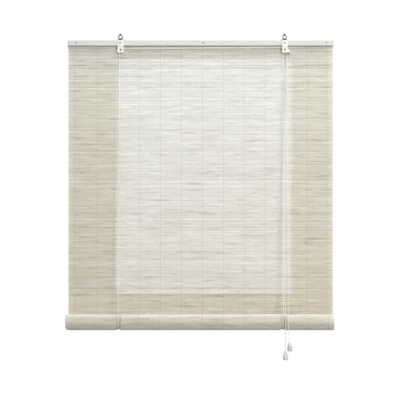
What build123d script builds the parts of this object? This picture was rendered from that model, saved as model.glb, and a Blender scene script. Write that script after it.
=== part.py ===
from build123d import *
import math
import os

# Bamboo roll-up blind that hangs from two steel eyes, partly rolled up.
# The origin is midway between the holes of the two eyes. +X is to the right of
# someone facing the blind, the front faces -Y, and +Z is up. Sizes are in millimetres.

# Hanging eyes
eye_spacing = 557.0
eye_hole_radius = 4.7
eye_rim = 3.1
eye_tip_height = 12.6
eye_thickness = 2.5
eye_neck_width = 10.8
eye_neck_length = 3.4
eye_neck_overlap = 1.0
eye_stud_radius = 2.0
collar_radius = 9.9
collar_top_radius = 7.6
collar_height = 2.1

# Head rail: two battens with the mat clamped between them
rail_length = 900.0
rail_offset = -6.4
front_batten_height = 17.5
front_batten_depth = 12.0
rear_batten_height = 25.0
rear_batten_depth = 9.0
batten_edge = 0.8
rail_screw_places = (-421.2, 9.1, 426.1)
rail_screw_drop = 8.0
rail_screw_head_radius = 2.1
rail_screw_head_height = 0.9
rail_screw_radius = 1.25
screw_stop = 3.0

# Mat and roll
mat_width = 898.0
mat_thickness = 2.0
roll_drop = 950.5
roll_radius = 27.5
roll_half_turns = 15
roll_pitch = 2.4
roll_drift = -3.0
dowel_gap = 0.3
dowel_inset = 2.0

# Brackets of bent steel strip
steel = 1.2
bracket_left_margin = 8.5
left_bracket_width = 20.7
right_bracket_width = 18.0
clip_leg_height = 23.7
clip_bend_share = 0.8
clip_screw_drop = 8.5
clip_screw_head_radius = 2.3
clip_screw_head_height = 1.3
clip_screw_radius = 1.4
housing_height = 41.5
housing_lap = 0.5
cheek_gap = 0.2
right_splay = 8.5
tongue_drop = 5.5
tongue_width = 10.5
tongue_shoulder = 2.5

# Cord wheels on riveted axles
wheel_side_gap = 0.4
wheel_flange = 1.3
wheel_rim = 0.3
groove_bevel = 0.3
groove_side_gap = 0.4
axle_radius = 1.5
axle_clearance = 0.05
axle_head_radius = 3.0
axle_head_height = 0.8
axle_spread = 0.8
axle_spread_height = 0.5
left_wheel_offset = 1.9
right_wheel_offset = 0.5
left_axle_drop = 32.0
right_axle_drop = 30.5
small_wheel = 4.3
large_wheel = 6.0

# Cord lock roller, which climbs beside the splayed wall
lock_radius = 3.7
lock_side_gap = 0.5
lock_place = (12.7, -42.5)
lock_travel = 2.8
lock_pin_radius = 1.2
lock_pin_head_radius = 2.0
lock_pin_head_height = 0.7
lock_pin_play = 0.1
slot_clearance = 0.05

# Cords
cord_diameter = 2.2
cord_gap = 0.9
cord_seam = 0.15
groove_gap = 0.05
anchor_drop = 10.5
anchor_gap = 0.3
anchor_knot_radius = 2.4
staple_drop = 14.5
staple_half_width = 2.2
staple_wire_radius = 0.6
staple_depth = 5.0
staple_gap = 0.2

# How far to the side of its wheel each cord lies round the roll
left_loop_shift = 0.0
right_loop_shift = -4.3

# Tails of the two lift cords: where each turns to hang straight down, where its
# joining knot is and where its tassel starts, as (x, y, z)
right_tail_bend = (277.4, -56.6, -950.0)
right_tail_knot_z = -1025.6
right_tassel_z = -1057.2
left_tail_bend = (286.2, -62.0, -950.0)
left_tail_knot_z = -992.0
left_tassel_z = -1027.3
left_tassel_lean = 5.0
tail_knot_radius = 2.5
tassel_cord_diameter = 1.8
tassel_height = 30.0
tassel_radius = 8.5
tassel_neck_radius = 2.2
tassel_foot_radius = 6.2
tassel_foot_height = 5.5
tassel_hole_radius = 1.0
tassel_recess_radius = 3.4
tassel_recess_depth = 6.0
tassel_knot_radius = 2.2

# Levels and faces that follow from those sizes
rail_top = -(eye_hole_radius + eye_rim) - eye_neck_length + eye_neck_overlap - collar_height - steel
front_face = -mat_thickness / 2 - front_batten_depth
rear_face = mat_thickness / 2 + rear_batten_depth
front_batten_bottom = rail_top - front_batten_height
rear_batten_bottom = rail_top - rear_batten_height
mat_centre = rail_offset
roll_centre_z = rail_top - roll_drop
roll_centre_y = mat_thickness / 2 - roll_radius
roll_centre_x = mat_centre + roll_drift
cord_radius = cord_diameter / 2
wheel_width = cord_diameter + 2 * (groove_side_gap + wheel_rim)
housing_face = front_face - steel
clip_face = housing_face - steel
left_eye_x = -eye_spacing / 2
right_eye_x = eye_spacing / 2
loop_radius = roll_radius + cord_gap + cord_radius
mid_radius = roll_radius - mat_thickness / 2
left_cheek_depth = wheel_width + 2 * wheel_side_gap
right_cheek_depth = 2 * wheel_width + 3 * wheel_side_gap
lock_width = right_cheek_depth - 2 * lock_side_gap
first_wheel_y = front_face + wheel_side_gap + wheel_width / 2
second_wheel_y = first_wheel_y + wheel_side_gap + wheel_width
left_wheel = (left_eye_x + left_wheel_offset, first_wheel_y, rail_top - left_axle_drop)
right_front_wheel = (right_eye_x + right_wheel_offset, first_wheel_y, rail_top - right_axle_drop)
right_rear_wheel = (right_front_wheel[0], second_wheel_y, right_front_wheel[2])


def block(x0, x1, y0, y1, z0, z1):
    """A box between two corners."""
    centre = ((x0 + x1) / 2, (y0 + y1) / 2, (z0 + z1) / 2)
    return Pos(*centre) * Box(x1 - x0, y1 - y0, z1 - z0)


def plate(outline, y0, y1):
    """A flat plate whose outline is given as (x, z) points, from y0 back to y1."""
    face = make_face(Plane.XZ.offset(-y1) * Polyline(*outline, close=True))
    return extrude(face, amount=y1 - y0, dir=(0, -1, 0))


def rod_y(x, z, radius, y0, y1):
    """A round bar along Y."""
    return Pos(x, (y0 + y1) / 2, z) * Rot(90, 0, 0) * Cylinder(radius, y1 - y0)


def dome_y(x, z, radius, height, y):
    """A shallow domed head that stands forward of the face at y."""
    sphere_radius = (radius**2 + height**2) / (2 * height)
    half = math.asin(radius / sphere_radius) / 2
    middle = (sphere_radius * math.sin(half), height - sphere_radius * (1 - math.cos(half)))
    outline = Line((0, 0), (radius, 0))
    outline += ThreePointArc((radius, 0), middle, (0, height))
    outline += Line((0, height), (0, 0))
    cap = revolve(make_face(Plane.XZ * outline), Axis.Z)
    return Pos(x, y, z) * Rot(90, 0, 0) * cap


def tube(path, radius):
    """A round cord along a wire."""
    section = Plane(origin=path @ 0, z_dir=path % 0) * Circle(radius)
    return sweep(section, path=path)


def straight_cord(start, end, radius=cord_radius, seam=cord_seam):
    """A straight stretch of cord, its ends held back by a seam."""
    a = Vector(*start)
    b = Vector(*end)
    along = (b - a).normalized()
    return tube(Wire([Edge.make_line(a + along * seam, b - along * seam)]), radius)


def tangent_point(outside, centre, radius, side):
    """Where a line from a point touches a circle; side is +1 or -1. Both are (u, v) pairs."""
    du = outside[0] - centre[0]
    dv = outside[1] - centre[1]
    distance = math.hypot(du, dv)
    angle = math.atan2(dv, du) + side * math.acos(radius / distance)
    return (centre[0] + radius * math.cos(angle), centre[1] + radius * math.sin(angle))


# Head rail


def batten(y0, y1, bottom):
    left = rail_offset - rail_length / 2
    body = block(left, left + rail_length, y0, y1, bottom, rail_top)
    return fillet(body.edges().filter_by(Axis.X), batten_edge)


def rail_screw(x):
    """A pan-head screw that clamps the mat between the battens."""
    z = rail_top - rail_screw_drop
    shank = rod_y(x, z, rail_screw_radius, front_face, rear_face - screw_stop)
    head = dome_y(x, z, rail_screw_head_radius, rail_screw_head_height, front_face)
    return shank + head


def rail_screw_hole(x):
    return rod_y(x, rail_top - rail_screw_drop, rail_screw_radius, front_face, rear_face - screw_stop)


# Brackets: an angle clip screwed to the rail over a housing for the cord wheels


def bracket_edges(eye_x, width):
    left = eye_x - bracket_left_margin
    return left, left + width


def clip_screw(eye_x):
    z = rail_top - clip_screw_drop
    shank = rod_y(eye_x, z, clip_screw_radius, clip_face, -mat_thickness / 2 - screw_stop)
    head = dome_y(eye_x, z, clip_screw_head_radius, clip_screw_head_height, clip_face)
    return shank + head


def clip_screw_hole(eye_x):
    z = rail_top - clip_screw_drop
    return rod_y(eye_x, z, clip_screw_radius, clip_face, -mat_thickness / 2 - screw_stop)


def clip(eye_x, width):
    """An angle of strip: one leg down the front, one over the top of the rail."""
    left, right = bracket_edges(eye_x, width)
    top = rail_top + steel
    leg = block(left, right, clip_face, housing_face, top - clip_leg_height, top)
    cap = block(left, right, clip_face, rear_face, rail_top, top)
    body = leg + cap
    outer_bend = body.edges().filter_by(Axis.X).sort_by(Axis.Y)[:2].sort_by(Axis.Z)[-1]
    body = fillet(outer_bend, steel * clip_bend_share)
    stud_hole = Pos(eye_x, 0, rail_top + steel / 2) * Cylinder(eye_stud_radius, 2 * steel)
    return body - stud_hole - clip_screw_hole(eye_x)


def housing_front(left, right, splay):
    """Outline of the front cheek, from behind the clip down to its lower edge."""
    top = rail_top - housing_lap
    bottom = rail_top - housing_height
    bend = rear_batten_bottom
    if splay:
        return [(left, top), (right, top), (right, bend), (right + splay, bottom), (left, bottom)]
    return [(left, top), (right, top), (right, bottom), (left, bottom)]


def left_housing():
    left, right = bracket_edges(left_eye_x, left_bracket_width)
    top = front_batten_bottom - cheek_gap
    bottom = rail_top - housing_height
    cheek = front_face + left_cheek_depth
    body = plate(housing_front(left, right, 0), housing_face, front_face)
    body += block(left, right, cheek, cheek + steel, bottom, top)
    body += block(left, right, housing_face, cheek + steel, top - steel, top)
    body += block(left, left + steel, housing_face, cheek + steel, bottom, top)
    body -= rod_y(left_wheel[0], left_wheel[2], axle_radius, housing_face, cheek + steel)
    return body - clip_screw_hole(left_eye_x)


def lock_slot(x, z, y0, y1):
    """The slanted slot that the lock roller's pin climbs in."""
    radius = lock_pin_radius + slot_clearance
    dx, dz = lock_direction()
    low = rod_y(x, z, radius, y0, y1)
    high = rod_y(x + dx * lock_travel, z + dz * lock_travel, radius, y0, y1)
    nx, nz = -dz * radius, dx * radius
    ex, ez = dx * lock_travel, dz * lock_travel
    between = [
        (x + nx, z + nz),
        (x - nx, z - nz),
        (x - nx + ex, z - nz + ez),
        (x + nx + ex, z + nz + ez),
    ]
    return low + high + plate(between, y0, y1)


def lock_direction():
    """The way the lock roller climbs, along the splayed wall."""
    rise = housing_height - rear_batten_height
    length = math.hypot(right_splay, rise)
    return -right_splay / length, rise / length


def right_housing():
    left, right = bracket_edges(right_eye_x, right_bracket_width)
    top = front_batten_bottom - cheek_gap
    bend = rear_batten_bottom
    bottom = rail_top - housing_height
    tongue = bottom - tongue_drop
    cheek = front_face + right_cheek_depth
    foot = right + right_splay
    body = plate(housing_front(left, right, right_splay), housing_face, front_face)
    rear = [
        (left, top),
        (right, top),
        (right, bend),
        (foot, bottom),
        (foot, tongue),
        (foot - tongue_width, tongue),
        (foot - tongue_width - tongue_shoulder, bottom),
        (left, bottom),
    ]
    body += plate(rear, cheek, cheek + steel)
    body += block(left, right, housing_face, cheek + steel, top - steel, top)
    wall = steel * math.hypot(right_splay, bend - bottom) / (bend - bottom)
    side = [
        (right, top),
        (right, bend),
        (foot, bottom),
        (foot - wall, bottom),
        (right - wall, bend),
        (right - wall, top),
    ]
    body += plate(side, housing_face, cheek + steel)
    lock_x, lock_z = lock_centre()
    body -= lock_slot(lock_x, lock_z, cheek - steel, cheek + 2 * steel)
    x, _, z = right_front_wheel
    body -= rod_y(x, z, axle_radius, housing_face, cheek + steel)
    return body - clip_screw_hole(right_eye_x)


def axle(wheel, cheek_depth):
    """A rivet through both cheeks, domed in front and spread behind."""
    x, _, z = wheel
    back = front_face + cheek_depth + steel
    pin = rod_y(x, z, axle_radius, housing_face, back + axle_spread_height)
    head = dome_y(x, z, axle_head_radius, axle_head_height, housing_face)
    spread = rod_y(x, z, axle_radius + axle_spread, back, back + axle_spread_height)
    return pin + head + spread


def wheel(place, running_radius):
    """A grooved wheel; running_radius is that of the cord's centre line."""
    flange = running_radius + wheel_flange
    floor = running_radius - cord_radius - groove_gap
    half = wheel_width / 2
    bore = axle_radius + axle_clearance
    profile = Polyline(
        (bore, -half),
        (flange, -half),
        (flange, -half + wheel_rim),
        (floor, -half + wheel_rim + groove_bevel),
        (floor, half - wheel_rim - groove_bevel),
        (flange, half - wheel_rim),
        (flange, half),
        (bore, half),
        close=True,
    )
    body = revolve(make_face(Plane.XZ * profile), Axis.Z)
    return Pos(*place) * Rot(90, 0, 0) * body


def lock_centre():
    return right_eye_x + lock_place[0], rail_top + lock_place[1]


def lock_roller():
    x, z = lock_centre()
    start = front_face + (right_cheek_depth - lock_width) / 2
    return rod_y(x, z, lock_radius, start, start + lock_width) - lock_pin()


def lock_pin():
    """A headed pin from the roller back through the slot."""
    x, z = lock_centre()
    start = front_face + (right_cheek_depth - lock_width) / 2
    back = front_face + right_cheek_depth + steel + lock_pin_play
    head = rod_y(x, z, lock_pin_head_radius, back, back + lock_pin_head_height)
    return rod_y(x, z, lock_pin_radius, start, back) + head


# Hanging eyes


def eye_collar(eye_x):
    """A cone-shaped washer between the eye and the clip."""
    z = rail_top + steel + collar_height / 2
    cone = Pos(eye_x, 0, z) * Cone(collar_radius, collar_top_radius, collar_height)
    return cone - Pos(eye_x, 0, z) * Cylinder(eye_stud_radius, 2 * collar_height)


def hanger_eye(eye_x):
    """A stamped eye with a pointed top, a neck, and a stud through collar and clip."""
    outer = eye_hole_radius + eye_rim
    touch = math.acos(outer / eye_tip_height)
    flank_x = outer * math.sin(touch)
    flank_z = outer * math.cos(touch)
    foot = rail_top + steel + collar_height
    half = eye_thickness / 2
    ring = rod_y(eye_x, 0, outer, -half, half)
    point = [(eye_x - flank_x, flank_z), (eye_x, eye_tip_height), (eye_x + flank_x, flank_z)]
    tip = plate(point, -half, half)
    neck = block(
        eye_x - eye_neck_width / 2, eye_x + eye_neck_width / 2, -half, half, foot, -eye_hole_radius
    )
    stud = Pos(eye_x, 0, (foot + rail_top) / 2) * Cylinder(eye_stud_radius, foot - rail_top)
    return ring + tip + neck + stud - rod_y(eye_x, 0, eye_hole_radius, -half, half)


# Mat, roll and dowel


def mat_panel():
    """The hanging part of the mat, as one thin sheet."""
    half = mat_thickness / 2
    left = mat_centre - mat_width / 2
    body = block(left, left + mat_width, -half, half, roll_centre_z, rail_top)
    for place in rail_screw_places:
        body -= rail_screw_hole(mat_centre + place)
    return body


def spiral(offset):
    """Half circles that wind inwards from the back of the roll, under it first."""
    edges = []
    y = offset
    for i in range(roll_half_turns):
        radius = mid_radius - i * roll_pitch / 2 + offset
        direction = 1 if i % 2 == 0 else -1
        end = y - 2 * direction * radius
        middle = (y - direction * radius, roll_centre_z - direction * radius)
        edges.append(((y, roll_centre_z), middle, (end, roll_centre_z)))
        y = end
    return edges


def mat_roll():
    """The rolled-up part of the mat: one sheet wound in a spiral, with air between its turns."""
    outer = spiral(mat_thickness / 2)
    inner = spiral(-mat_thickness / 2)
    at = [(0.0, y, z) for y, z in (outer[0][0], inner[0][0], outer[-1][2], inner[-1][2])]
    edges = [
        Edge.make_three_point_arc(*[Vector(0, y, z) for y, z in arc]) for arc in outer + inner
    ]
    edges.append(Edge.make_line(Vector(*at[0]), Vector(*at[1])))
    edges.append(Edge.make_line(Vector(*at[2]), Vector(*at[3])))
    face = Face(Wire(edges))
    rolled = extrude(face, amount=mat_width, dir=(1, 0, 0))
    return Pos(roll_centre_x - mat_width / 2, 0, 0) * rolled


def bottom_dowel():
    """The round bar that the mat is wound on."""
    core = mid_radius - (roll_half_turns - 1) * roll_pitch / 2 - mat_thickness / 2
    radius = core - roll_pitch / 4 - dowel_gap
    y = roll_centre_y - roll_pitch / 4
    bar = Rot(0, 90, 0) * Cylinder(radius, mat_width - 2 * dowel_inset)
    return Pos(roll_centre_x, y, roll_centre_z) * bar


# Cords


def anchor_point():
    return (rear_face + cord_radius + anchor_gap, rail_top - anchor_drop)


def front_point(place):
    """Where the front strand of a wheel's cord leaves it, as (x, y, z)."""
    return place[0] - small_wheel, place[1], place[2]


def front_touch(place):
    """Where the front strand touches the roll, as (y, z)."""
    return tangent_point((place[1], place[2]), (roll_centre_y, roll_centre_z), loop_radius, 1)


def rear_touch():
    """Where the rear strand touches the roll, as (y, z)."""
    return tangent_point(anchor_point(), (roll_centre_y, roll_centre_z), loop_radius, -1)


def rear_strand(x):
    y, z = anchor_point()
    start = (x, y, z - anchor_knot_radius)
    return straight_cord(start, (x, *rear_touch()))


def roll_loop(x, place):
    """The stretch of a lift cord that carries the roll."""
    bottom = Vector(x, roll_centre_y, roll_centre_z - loop_radius)
    arc = Edge.make_three_point_arc(
        Vector(x, *rear_touch()), bottom, Vector(x, *front_touch(place))
    )
    return tube(Wire([arc]), cord_radius)


def front_strand(x, place):
    return straight_cord(front_point(place), (x, *front_touch(place)))


def wheel_top(place, radius, tilt):
    """The point over a wheel where a cord with that tilt, in radians, leaves it."""
    x, y, z = place
    return Vector(x - radius * math.sin(tilt), y, z + radius * math.cos(tilt))


def arc_middle(place, radius, angle):
    x, y, z = place
    return Vector(x + radius * math.cos(angle), y, z + radius * math.sin(angle))


def left_cord_top():
    """Over the left wheel, along under the rail, and over the right front wheel."""
    dx = right_front_wheel[0] - left_wheel[0]
    dz = right_front_wheel[2] - left_wheel[2]
    tilt = math.atan2(dz, dx) + math.asin((large_wheel - small_wheel) / math.hypot(dx, dz))
    start = Vector(left_wheel[0] - small_wheel, *left_wheel[1:])
    end = Vector(right_front_wheel[0] + large_wheel, *right_front_wheel[1:])
    leave = wheel_top(left_wheel, small_wheel, tilt)
    meet = wheel_top(right_front_wheel, large_wheel, tilt)
    up = Edge.make_three_point_arc(
        start, arc_middle(left_wheel, small_wheel, (math.pi + math.pi / 2 + tilt) / 2), leave
    )
    down = Edge.make_three_point_arc(
        meet, arc_middle(right_front_wheel, large_wheel, (math.pi / 2 + tilt) / 2), end
    )
    return tube(Wire([up, Edge.make_line(leave, meet), down]), cord_radius)


def right_cord_top():
    """Half a turn over the right rear wheel."""
    x, y, z = right_rear_wheel
    start = Vector(x - small_wheel, y, z)
    end = Vector(x + small_wheel, y, z)
    arc = Edge.make_three_point_arc(start, Vector(x, y, z + small_wheel), end)
    return tube(Wire([arc]), cord_radius)


def anchor_knot(x):
    y, z = anchor_point()
    return Pos(x, rear_face + anchor_knot_radius, z) * Sphere(anchor_knot_radius)


def staple_wires(x):
    """Legs and crown of a wire staple over a cord on the back of the rail."""
    z = rail_top - staple_drop
    crown_y = rear_face + cord_diameter + anchor_gap + staple_wire_radius + staple_gap
    start = rear_face - staple_depth
    left = rod_y(x - staple_half_width, z, staple_wire_radius, start, crown_y)
    right = rod_y(x + staple_half_width, z, staple_wire_radius, start, crown_y)
    bar = Pos(x, crown_y, z) * Rot(0, 90, 0) * Cylinder(staple_wire_radius, 2 * staple_half_width)
    corners = [
        Pos(x + side * staple_half_width, crown_y, z) * Sphere(staple_wire_radius) for side in (-1, 1)
    ]
    return left + right + bar + corners[0] + corners[1]


def tail_upper(start, bend):
    return straight_cord(start, bend)


def tail_lower(bend, knot_z):
    return straight_cord(bend, (bend[0], bend[1], knot_z + tail_knot_radius - cord_seam))


def tail_knot(bend, knot_z):
    return Pos(bend[0], bend[1], knot_z) * Sphere(tail_knot_radius)


def tassel_cord(bend, knot_z, top):
    """From the joining knot down through the tassel to the knot in its recess."""
    end = top - tassel_height + tassel_recess_depth
    return straight_cord(
        (bend[0], bend[1], knot_z - tail_knot_radius),
        (bend[0], bend[1], end),
        radius=tassel_cord_diameter / 2,
        seam=0.0,
    )


def bulge(widest_radius, widest_z, end_radius, end_z):
    """An arc in the XZ plane that is upright at its widest point and runs in to its end."""
    width = widest_radius - end_radius
    height = end_z - widest_z
    radius = (width**2 + height**2) / (2 * width)
    half = math.asin(height / radius) / 2
    middle_x = widest_radius - radius * (1 - math.cos(half))
    return Edge.make_three_point_arc(
        Vector(widest_radius, 0, widest_z),
        Vector(middle_x, 0, widest_z + radius * math.sin(half)),
        Vector(end_radius, 0, end_z),
    )


def tassel(bend, top):
    """A bell with a domed top, a rounded foot and a recess for the knot."""
    foot = top - tassel_height
    widest = foot + tassel_foot_height
    outline = [
        Edge.make_line(Vector(tassel_hole_radius, 0, top), Vector(tassel_neck_radius, 0, top)),
        bulge(tassel_radius, widest, tassel_neck_radius, top),
        bulge(tassel_radius, widest, tassel_foot_radius, foot),
        Edge.make_line(Vector(tassel_foot_radius, 0, foot), Vector(tassel_recess_radius, 0, foot)),
        Edge.make_line(
            Vector(tassel_recess_radius, 0, foot),
            Vector(tassel_recess_radius, 0, foot + tassel_recess_depth),
        ),
        Edge.make_line(
            Vector(tassel_recess_radius, 0, foot + tassel_recess_depth),
            Vector(tassel_hole_radius, 0, foot + tassel_recess_depth),
        ),
        Edge.make_line(
            Vector(tassel_hole_radius, 0, foot + tassel_recess_depth), Vector(tassel_hole_radius, 0, top)
        ),
    ]
    return Pos(bend[0], bend[1], 0) * revolve(Face(Wire(outline)), Axis.Z)


def tassel_knot(bend, top):
    z = top - tassel_height + tassel_recess_depth - tassel_knot_radius
    return Pos(bend[0], bend[1], z) * Sphere(tassel_knot_radius)


def lean(bend, knot_z, degrees):
    """Turns what hangs from a joining knot about it, so that its lower end goes to +X."""
    knot = (bend[0], bend[1], knot_z)
    back = (-bend[0], -bend[1], -knot_z)
    return Pos(*knot) * Rot(0, -degrees, 0) * Pos(*back)


# Assembly

parts = {}

front_batten = batten(front_face, -mat_thickness / 2, front_batten_bottom)
rear_batten = batten(mat_thickness / 2, rear_face, rear_batten_bottom)
for number, place in enumerate(rail_screw_places, start=1):
    parts[f"rail_screw_{number}"] = rail_screw(mat_centre + place)
    front_batten -= rail_screw_hole(mat_centre + place)
    rear_batten -= rail_screw_hole(mat_centre + place)

brackets = {
    "left": (left_eye_x, left_bracket_width, left_wheel, left_loop_shift),
    "right": (right_eye_x, right_bracket_width, right_rear_wheel, right_loop_shift),
}
for side, (eye_x, width, place, loop_shift) in brackets.items():
    x = place[0] - small_wheel + loop_shift
    front_batten -= clip_screw_hole(eye_x)
    staple = staple_wires(x)
    rear_batten -= staple
    parts[f"{side}_clip"] = clip(eye_x, width)
    parts[f"{side}_clip_screw"] = clip_screw(eye_x)
    parts[f"{side}_hanger_eye"] = hanger_eye(eye_x)
    parts[f"{side}_eye_collar"] = eye_collar(eye_x)
    parts[f"{side}_cord_staple"] = staple
    parts[f"{side}_anchor_knot"] = anchor_knot(x)
    parts[f"{side}_rear_strand"] = rear_strand(x)
    parts[f"{side}_front_strand"] = front_strand(x, place)
    parts[f"{side}_roll_loop"] = roll_loop(x, place)

parts["front_batten"] = front_batten
parts["rear_batten"] = rear_batten
parts["left_housing"] = left_housing()
parts["right_housing"] = right_housing()
parts["left_axle"] = axle(left_wheel, left_cheek_depth)
parts["right_axle"] = axle(right_rear_wheel, right_cheek_depth)
parts["left_wheel"] = wheel(left_wheel, small_wheel)
parts["right_front_wheel"] = wheel(right_front_wheel, large_wheel)
parts["right_rear_wheel"] = wheel(right_rear_wheel, small_wheel)
parts["lock_roller"] = lock_roller()
parts["lock_pin"] = lock_pin()
parts["mat_panel"] = mat_panel()
parts["mat_roll"] = mat_roll()
parts["bottom_dowel"] = bottom_dowel()
parts["left_cord_top"] = left_cord_top()
parts["right_cord_top"] = right_cord_top()

tails = {
    "left": (right_front_wheel, large_wheel, left_tail_bend, left_tail_knot_z, left_tassel_z),
    "right": (right_rear_wheel, small_wheel, right_tail_bend, right_tail_knot_z, right_tassel_z),
}
leans = {"left": left_tassel_lean, "right": 0.0}
for side, (place, radius, bend, knot_z, top) in tails.items():
    start = (place[0] + radius, place[1], place[2])
    leaning = lean(bend, knot_z, leans[side])
    parts[f"{side}_tail_upper"] = tail_upper(start, bend)
    parts[f"{side}_tail_lower"] = tail_lower(bend, knot_z)
    parts[f"{side}_tail_knot"] = tail_knot(bend, knot_z)
    parts[f"{side}_tassel_cord"] = leaning * tassel_cord(bend, knot_z, top)
    parts[f"{side}_tassel"] = leaning * tassel(bend, top)
    parts[f"{side}_tassel_knot"] = leaning * tassel_knot(bend, top)

print("cord radii over wheels", small_wheel, large_wheel, "and under the roll", loop_radius)

os.makedirs("parts", exist_ok=True)
for name, shape in parts.items():
    export_step(shape, f"parts/{name}.step")
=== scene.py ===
import math
import random

import bpy
import numpy as np
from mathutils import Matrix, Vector


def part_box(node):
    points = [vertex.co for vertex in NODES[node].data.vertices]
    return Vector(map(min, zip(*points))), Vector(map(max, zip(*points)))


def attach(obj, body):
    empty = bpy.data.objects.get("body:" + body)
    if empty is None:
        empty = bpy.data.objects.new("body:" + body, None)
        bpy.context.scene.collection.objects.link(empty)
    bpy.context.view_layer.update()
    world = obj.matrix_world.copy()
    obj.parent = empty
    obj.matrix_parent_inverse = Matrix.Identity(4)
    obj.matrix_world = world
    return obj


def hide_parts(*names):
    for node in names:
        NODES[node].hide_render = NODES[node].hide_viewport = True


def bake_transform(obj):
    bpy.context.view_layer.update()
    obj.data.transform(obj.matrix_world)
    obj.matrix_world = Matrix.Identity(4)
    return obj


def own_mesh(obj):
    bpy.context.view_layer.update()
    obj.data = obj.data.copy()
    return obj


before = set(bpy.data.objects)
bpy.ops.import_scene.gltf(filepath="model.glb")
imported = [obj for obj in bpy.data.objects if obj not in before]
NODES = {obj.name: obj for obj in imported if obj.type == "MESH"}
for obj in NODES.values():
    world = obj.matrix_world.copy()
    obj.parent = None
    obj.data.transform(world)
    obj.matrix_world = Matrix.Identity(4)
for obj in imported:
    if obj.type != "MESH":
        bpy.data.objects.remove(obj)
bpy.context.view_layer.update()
random.seed(11)

# All lengths are in metres. X goes to the right, the front faces -Y, and Z is up.

# Places that the looks are built on, read from the frame
panel_low, panel_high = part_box("mat_panel")
roll_low, roll_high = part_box("mat_roll")
rear_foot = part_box("rear_batten")[0].z
MAT_LEFT, MAT_RIGHT = panel_low.x, panel_high.x
MAT_TOP, ROLL_Z = panel_high.z, panel_low.z
MAT_DROP = MAT_TOP - ROLL_Z

# The roll is a spiral about (SPIRAL_Y, ROLL_Z): radius = SPIRAL_START - SHRINK * angle.
# Angle 0 is at the back, where the mat comes down, and it grows under the roll towards the front.
SPIRAL_Y = -0.0271
SPIRAL_START = 0.0271
SPIRAL_TURNS = 7.5
SPIRAL_PITCH = 0.0024
SHRINK = SPIRAL_PITCH / 2 / math.pi

# The hanging slats and the gap between two of them
SLATS = 198
SLAT_GAP = 0.00012

# The warp threads: their radius, how far they stand off a slat, or off the mat's middle where it is
# clamped, how far apart they are, and how far the outer ones lie from the mat's sides
THREAD_RADIUS = 0.00055
THREAD_LIFT, CLAMPED_LIFT = 0.0002, 0.00095
WARP_SPACING = 0.0712
WARP_INSET = 0.020

# Diameters of the lifting cords and of the tassels' cords
CORD = 0.0022
TASSEL_CORD = 0.0018


# Materials


def new_material(name, colour, roughness, metallic=0.0, specular=0.5):
    """A material and its node tree, with constant values set on the shader's own sockets."""
    material = bpy.data.materials.new(name)
    material.use_nodes = True
    tree = material.node_tree
    shader = tree.nodes["Principled BSDF"]
    shader.inputs["Base Color"].default_value = (*colour, 1)
    shader.inputs["Roughness"].default_value = roughness
    shader.inputs["Metallic"].default_value = metallic
    shader.inputs["Specular IOR Level"].default_value = specular
    return material, tree, shader


def add(tree, kind, inputs=(), **settings):
    """A node with its settings, and its inputs given as {name or number: value or socket}."""
    made = tree.nodes.new(kind)
    for key, value in settings.items():
        setattr(made, key, value)
    for key, value in dict(inputs).items():
        if isinstance(value, bpy.types.NodeSocket):
            tree.links.new(value, made.inputs[key])
        else:
            made.inputs[key].default_value = value
    return made


def mixed(tree, factor, a, b, blend="MIX"):
    """A colour mixed from two; factor, a and b are values or sockets."""
    a = a if isinstance(a, bpy.types.NodeSocket) else (*a, 1)
    b = b if isinstance(b, bpy.types.NodeSocket) else (*b, 1)
    made = add(tree, "ShaderNodeMix", {0: factor, 6: a, 7: b}, data_type="RGBA", blend_type=blend)
    return made.outputs[2]


def spread(tree, value, low, high, to_low=0.0, to_high=1.0):
    """A value stretched from one range to another, and clamped."""
    made = add(
        tree,
        "ShaderNodeMapRange",
        {"Value": value, "From Min": low, "From Max": high, "To Min": to_low, "To Max": to_high},
    )
    return made.outputs["Result"]


def attribute(tree, name, output="Fac"):
    """What build_slats or rope_mesh stored on a mesh's points."""
    return add(tree, "ShaderNodeAttribute", attribute_name=name).outputs[output]


def noise(tree, scales, vector=None, detail=3.0, roughness=0.55):
    """Noise in object coordinates, or in a given vector, stretched by three scales per metre."""
    if vector is None:
        vector = add(tree, "ShaderNodeTexCoord").outputs["Object"]
    stretched = add(tree, "ShaderNodeMapping", {"Vector": vector, "Scale": scales})
    settings = {"Scale": 1.0, "Detail": detail, "Roughness": roughness}
    made = add(tree, "ShaderNodeTexNoise", {"Vector": stretched.outputs["Vector"], **settings})
    return made.outputs["Fac"]


def bumped(tree, shader, height, distance, strength):
    """Bump on a shader; gives its normal, for a second shader."""
    made = add(tree, "ShaderNodeBump", {"Height": height, "Distance": distance, "Strength": strength})
    tree.links.new(made.outputs["Normal"], shader.inputs["Normal"])
    return made.outputs["Normal"]


def total(tree, a, b, operation="ADD"):
    """The sum of two values, or their product if operation is MULTIPLY."""
    return add(tree, "ShaderNodeMath", {0: a, 1: b}, operation=operation).outputs[0]


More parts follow.
